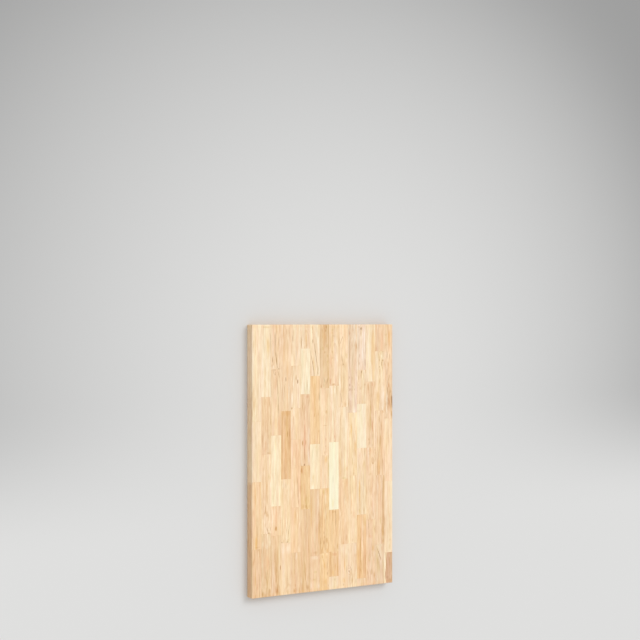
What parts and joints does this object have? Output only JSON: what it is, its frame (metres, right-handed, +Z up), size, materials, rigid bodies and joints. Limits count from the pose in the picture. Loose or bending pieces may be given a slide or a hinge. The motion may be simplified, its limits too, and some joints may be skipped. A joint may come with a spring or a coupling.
{
  "type": "butcher block countertop",
  "caption": "Flat rectangular worktop slab of short hardwood staves, finger jointed end to end and edge glued side by side, with every outer edge eased.",
  "frame": {"origin": "centre of the underside", "axes": "+Y along the staves, the slab's length; +X across the rows, its depth from wall to front; +Z up through its thickness"},
  "size_m": [0.635, 1.016, 0.0381],
  "materials": {
    "stave_wood": "bare sanded hardwood, unfinished, pale sapwood with tan to brown heartwood"
  },
  "bodies": {
    "root": {"row_01_odd_staves": "stave_wood", "row_01_even_staves": "stave_wood", "row_02_odd_staves": "stave_wood", "row_02_even_staves": "stave_wood", "row_03_odd_staves": "stave_wood", "row_03_even_staves": "stave_wood", "row_04_odd_staves": "stave_wood", "row_04_even_staves": "stave_wood", "row_05_odd_staves": "stave_wood", "row_05_even_staves": "stave_wood", "row_06_odd_staves": "stave_wood", "row_06_even_staves": "stave_wood", "row_07_odd_staves": "stave_wood", "row_07_even_staves": "stave_wood", "row_08_odd_staves": "stave_wood", "row_08_even_staves": "stave_wood", "row_09_odd_staves": "stave_wood", "row_09_even_staves": "stave_wood", "row_10_odd_staves": "stave_wood", "row_10_even_staves": "stave_wood", "row_11_odd_staves": "stave_wood", "row_11_even_staves": "stave_wood", "row_12_odd_staves": "stave_wood", "row_12_even_staves": "stave_wood", "row_13_odd_staves": "stave_wood", "row_13_even_staves": "stave_wood", "row_14_odd_staves": "stave_wood", "row_14_even_staves": "stave_wood", "row_15_odd_staves": "stave_wood", "row_15_even_staves": "stave_wood"}
  },
  "joints": []
}
